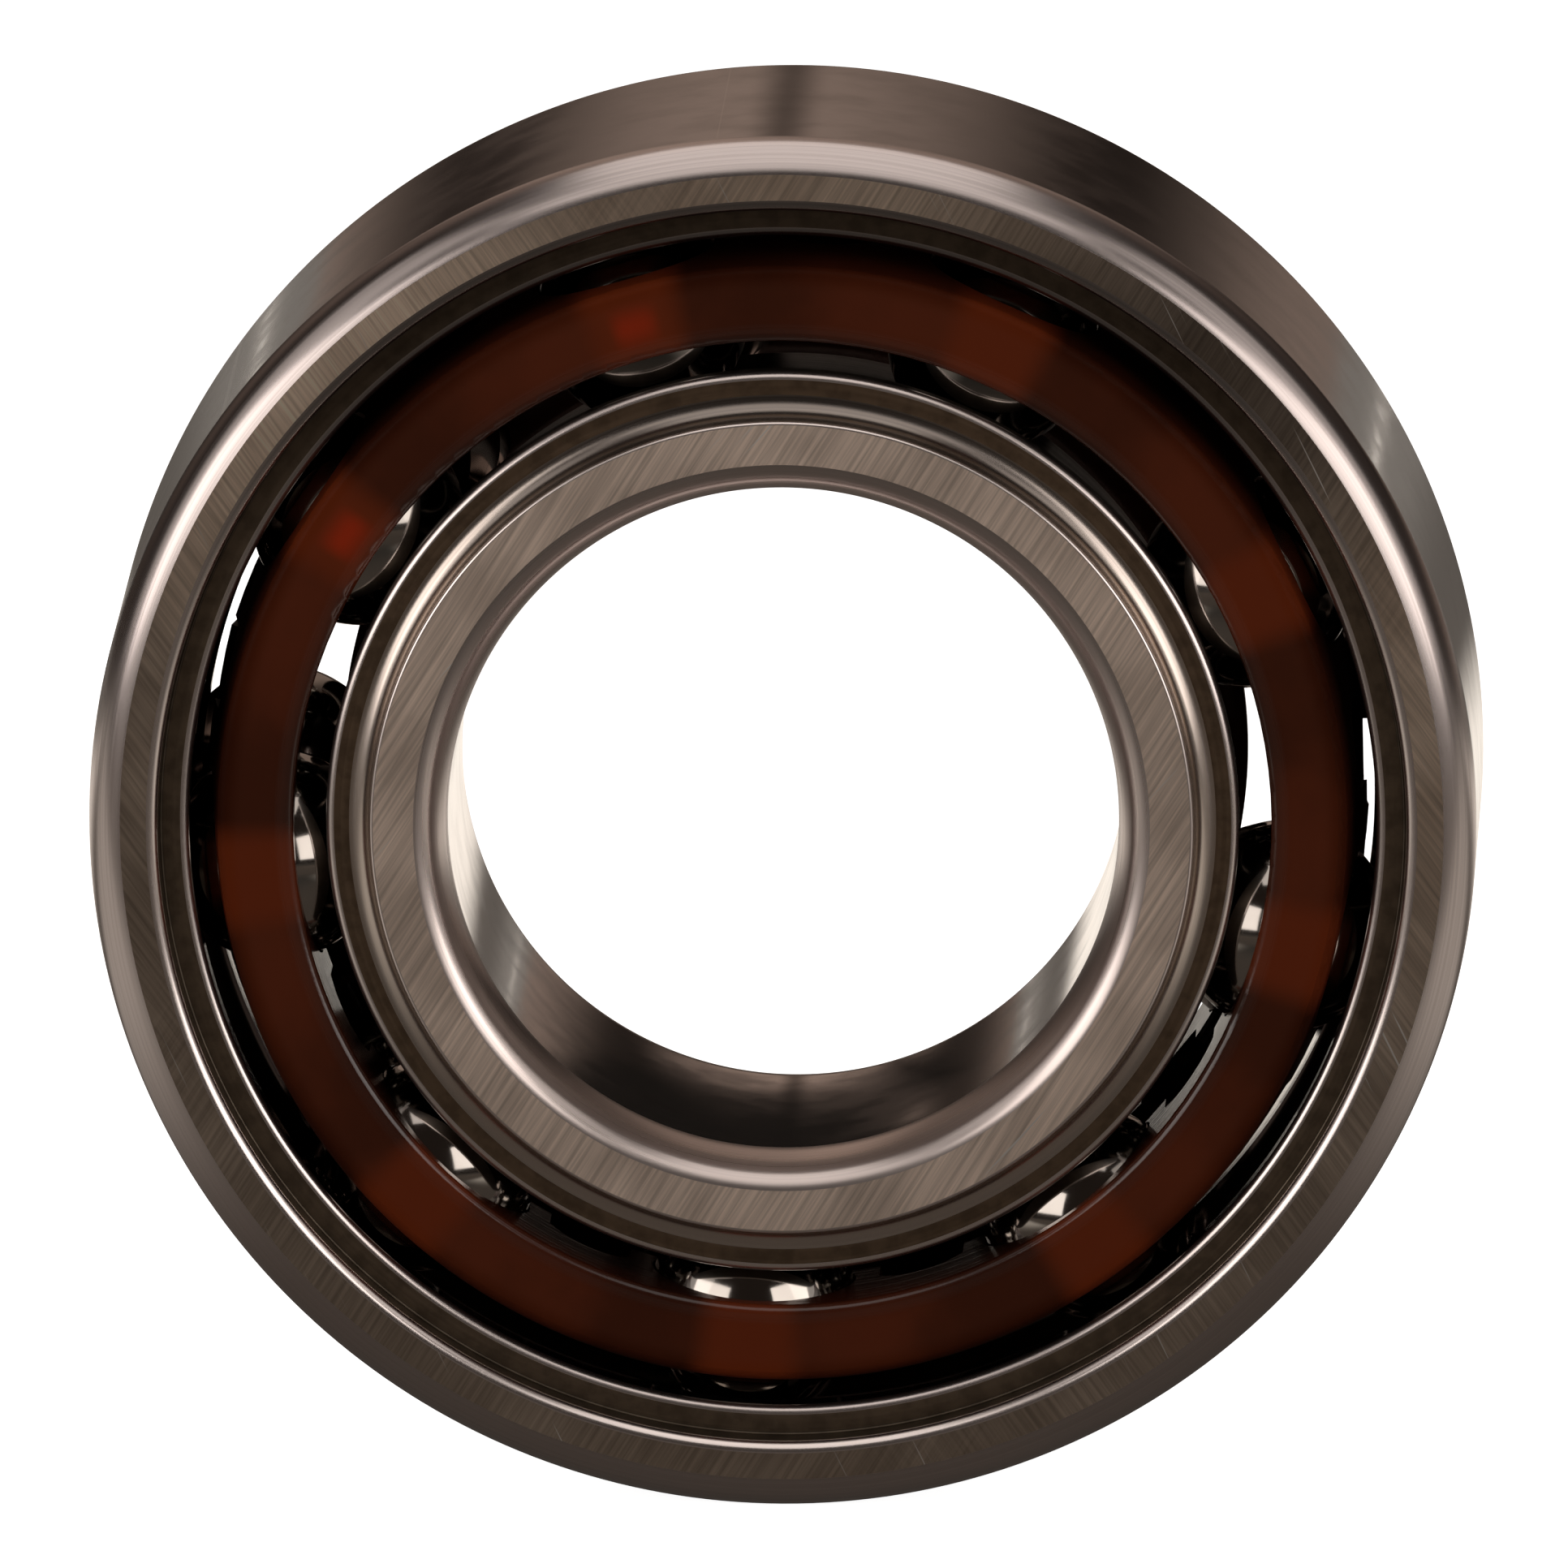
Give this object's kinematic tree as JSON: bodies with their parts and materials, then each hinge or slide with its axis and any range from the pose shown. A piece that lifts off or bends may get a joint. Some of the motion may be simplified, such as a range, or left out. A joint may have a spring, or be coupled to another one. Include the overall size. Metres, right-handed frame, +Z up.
{
  "type": "double-row angular contact ball bearing",
  "caption": "Open angular contact ball bearing with two rows of balls in polymer crown cages, between a grooved outer ring and a one-piece inner ring.",
  "frame": {"origin": "the middle of the bearing, on its axis and halfway between its two faces", "axes": "+Y along the bearing's axis, from the front face to the rear face; +Z up"},
  "size_m": [0.062, 0.0238, 0.062],
  "materials": {
    "ring_steel": "ground steel",
    "ball_steel": "mirror-polished steel",
    "cage_polymer": "dark amber moulded polymer, slightly see-through"
  },
  "bodies": {
    "outer_ring": {"outer_ring": "ring_steel"},
    "inner_ring": {"inner_ring": "ring_steel"},
    "front_cage": {"front_cage": "cage_polymer"},
    "rear_cage": {"rear_cage": "cage_polymer"},
    "front_ball_1": {"front_ball_1": "ball_steel"},
    "front_ball_2": {"front_ball_2": "ball_steel"},
    "front_ball_3": {"front_ball_3": "ball_steel"},
    "front_ball_4": {"front_ball_4": "ball_steel"},
    "front_ball_5": {"front_ball_5": "ball_steel"},
    "front_ball_6": {"front_ball_6": "ball_steel"},
    "front_ball_7": {"front_ball_7": "ball_steel"},
    "front_ball_8": {"front_ball_8": "ball_steel"},
    "front_ball_9": {"front_ball_9": "ball_steel"},
    "rear_ball_1": {"rear_ball_1": "ball_steel"},
    "rear_ball_2": {"rear_ball_2": "ball_steel"},
    "rear_ball_3": {"rear_ball_3": "ball_steel"},
    "rear_ball_4": {"rear_ball_4": "ball_steel"},
    "rear_ball_5": {"rear_ball_5": "ball_steel"},
    "rear_ball_6": {"rear_ball_6": "ball_steel"},
    "rear_ball_7": {"rear_ball_7": "ball_steel"},
    "rear_ball_8": {"rear_ball_8": "ball_steel"},
    "rear_ball_9": {"rear_ball_9": "ball_steel"}
  },
  "joints": [
    {"name": "inner_ring_spin", "type": "hinge", "parent": "outer_ring", "child": "inner_ring", "pos_m": [0, 0, 0], "axis": [0, 1, 0], "continuous": true},
    {"name": "front_cage_spin", "type": "hinge", "parent": "outer_ring", "child": "front_cage", "pos_m": [0, -0.0052, 0], "axis": [0, 1, 0], "continuous": true},
    {"name": "rear_cage_spin", "type": "hinge", "parent": "outer_ring", "child": "rear_cage", "pos_m": [0, 0.0052, 0], "axis": [0, 1, 0], "continuous": true},
    {"name": "front_ball_1_spin", "type": "hinge", "parent": "front_cage", "child": "front_ball_1", "pos_m": [0.00928, -0.0052, 0.02104], "axis": [-0.2018, 0.866, -0.4575], "continuous": true},
    {"name": "front_ball_2_spin", "type": "hinge", "parent": "front_cage", "child": "front_ball_2", "pos_m": [0.02064, -0.0052, 0.01016], "axis": [-0.4486, 0.866, -0.2208], "continuous": true},
    {"name": "front_ball_3_spin", "type": "hinge", "parent": "front_cage", "child": "front_ball_3", "pos_m": [0.02234, -0.0052, -0.00549], "axis": [-0.4856, 0.866, 0.1193], "continuous": true},
    {"name": "front_ball_4_spin", "type": "hinge", "parent": "front_cage", "child": "front_ball_4", "pos_m": [0.01358, -0.0052, -0.01856], "axis": [-0.2953, 0.866, 0.4035], "continuous": true},
    {"name": "front_ball_5_spin", "type": "hinge", "parent": "front_cage", "child": "front_ball_5", "pos_m": [-0.00152, -0.0052, -0.02295], "axis": [0.0331, 0.866, 0.4989], "continuous": true},
    {"name": "front_ball_6_spin", "type": "hinge", "parent": "front_cage", "child": "front_ball_6", "pos_m": [-0.01592, -0.0052, -0.0166], "axis": [0.3461, 0.866, 0.3609], "continuous": true},
    {"name": "front_ball_7_spin", "type": "hinge", "parent": "front_cage", "child": "front_ball_7", "pos_m": [-0.02286, -0.0052, -0.00248], "axis": [0.4971, 0.866, 0.054], "continuous": true},
    {"name": "front_ball_8_spin", "type": "hinge", "parent": "front_cage", "child": "front_ball_8", "pos_m": [-0.01911, -0.0052, 0.0128], "axis": [0.4155, 0.866, -0.2781], "continuous": true},
    {"name": "front_ball_9_spin", "type": "hinge", "parent": "front_cage", "child": "front_ball_9", "pos_m": [-0.00642, -0.0052, 0.02209], "axis": [0.1395, 0.866, -0.4801], "continuous": true},
    {"name": "rear_ball_1_spin", "type": "hinge", "parent": "rear_cage", "child": "rear_ball_1", "pos_m": [0.01108, 0.0052, 0.02015], "axis": [0.2409, 0.866, 0.4382], "continuous": true},
    {"name": "rear_ball_2_spin", "type": "hinge", "parent": "rear_cage", "child": "rear_ball_2", "pos_m": [0.02144, 0.0052, 0.00832], "axis": [0.4662, 0.866, 0.1808], "continuous": true},
    {"name": "rear_ball_3_spin", "type": "hinge", "parent": "rear_cage", "child": "rear_ball_3", "pos_m": [0.02177, 0.0052, -0.00741], "axis": [0.4733, 0.866, -0.1611], "continuous": true},
    {"name": "rear_ball_4_spin", "type": "hinge", "parent": "rear_cage", "child": "rear_ball_4", "pos_m": [0.01192, 0.0052, -0.01967], "axis": [0.259, 0.866, -0.4277], "continuous": true},
    {"name": "rear_ball_5_spin", "type": "hinge", "parent": "rear_cage", "child": "rear_ball_5", "pos_m": [-0.00352, 0.0052, -0.02273], "axis": [-0.0765, 0.866, -0.4941], "continuous": true},
    {"name": "rear_ball_6_spin", "type": "hinge", "parent": "rear_cage", "child": "rear_ball_6", "pos_m": [-0.01731, 0.0052, -0.01515], "axis": [-0.3762, 0.866, -0.3293], "continuous": true},
    {"name": "rear_ball_7_spin", "type": "hinge", "parent": "rear_cage", "child": "rear_ball_7", "pos_m": [-0.023, 0.0052, -0.00048], "axis": [-0.4999, 0.866, -0.0105], "continuous": true},
    {"name": "rear_ball_8_spin", "type": "hinge", "parent": "rear_cage", "child": "rear_ball_8", "pos_m": [-0.01792, 0.0052, 0.01441], "axis": [-0.3897, 0.866, 0.3133], "continuous": true},
    {"name": "rear_ball_9_spin", "type": "hinge", "parent": "rear_cage", "child": "rear_ball_9", "pos_m": [-0.00447, 0.0052, 0.02256], "axis": [-0.0971, 0.866, 0.4905], "continuous": true}
  ],
  "couplings": [
    {"joint": "front_cage_spin", "follows": "inner_ring_spin", "ratio": 0.41034},
    {"joint": "rear_cage_spin", "follows": "inner_ring_spin", "ratio": 0.41034},
    {"joint": "front_ball_1_spin", "follows": "inner_ring_spin", "ratio": -2.337},
    {"joint": "front_ball_2_spin", "follows": "inner_ring_spin", "ratio": -2.337},
    {"joint": "front_ball_3_spin", "follows": "inner_ring_spin", "ratio": -2.337},
    {"joint": "front_ball_4_spin", "follows": "inner_ring_spin", "ratio": -2.337},
    {"joint": "front_ball_5_spin", "follows": "inner_ring_spin", "ratio": -2.337},
    {"joint": "front_ball_6_spin", "follows": "inner_ring_spin", "ratio": -2.337},
    {"joint": "front_ball_7_spin", "follows": "inner_ring_spin", "ratio": -2.337},
    {"joint": "front_ball_8_spin", "follows": "inner_ring_spin", "ratio": -2.337},
    {"joint": "front_ball_9_spin", "follows": "inner_ring_spin", "ratio": -2.337},
    {"joint": "rear_ball_1_spin", "follows": "inner_ring_spin", "ratio": -2.337},
    {"joint": "rear_ball_2_spin", "follows": "inner_ring_spin", "ratio": -2.337},
    {"joint": "rear_ball_3_spin", "follows": "inner_ring_spin", "ratio": -2.337},
    {"joint": "rear_ball_4_spin", "follows": "inner_ring_spin", "ratio": -2.337},
    {"joint": "rear_ball_5_spin", "follows": "inner_ring_spin", "ratio": -2.337},
    {"joint": "rear_ball_6_spin", "follows": "inner_ring_spin", "ratio": -2.337},
    {"joint": "rear_ball_7_spin", "follows": "inner_ring_spin", "ratio": -2.337},
    {"joint": "rear_ball_8_spin", "follows": "inner_ring_spin", "ratio": -2.337},
    {"joint": "rear_ball_9_spin", "follows": "inner_ring_spin", "ratio": -2.337}
  ]
}
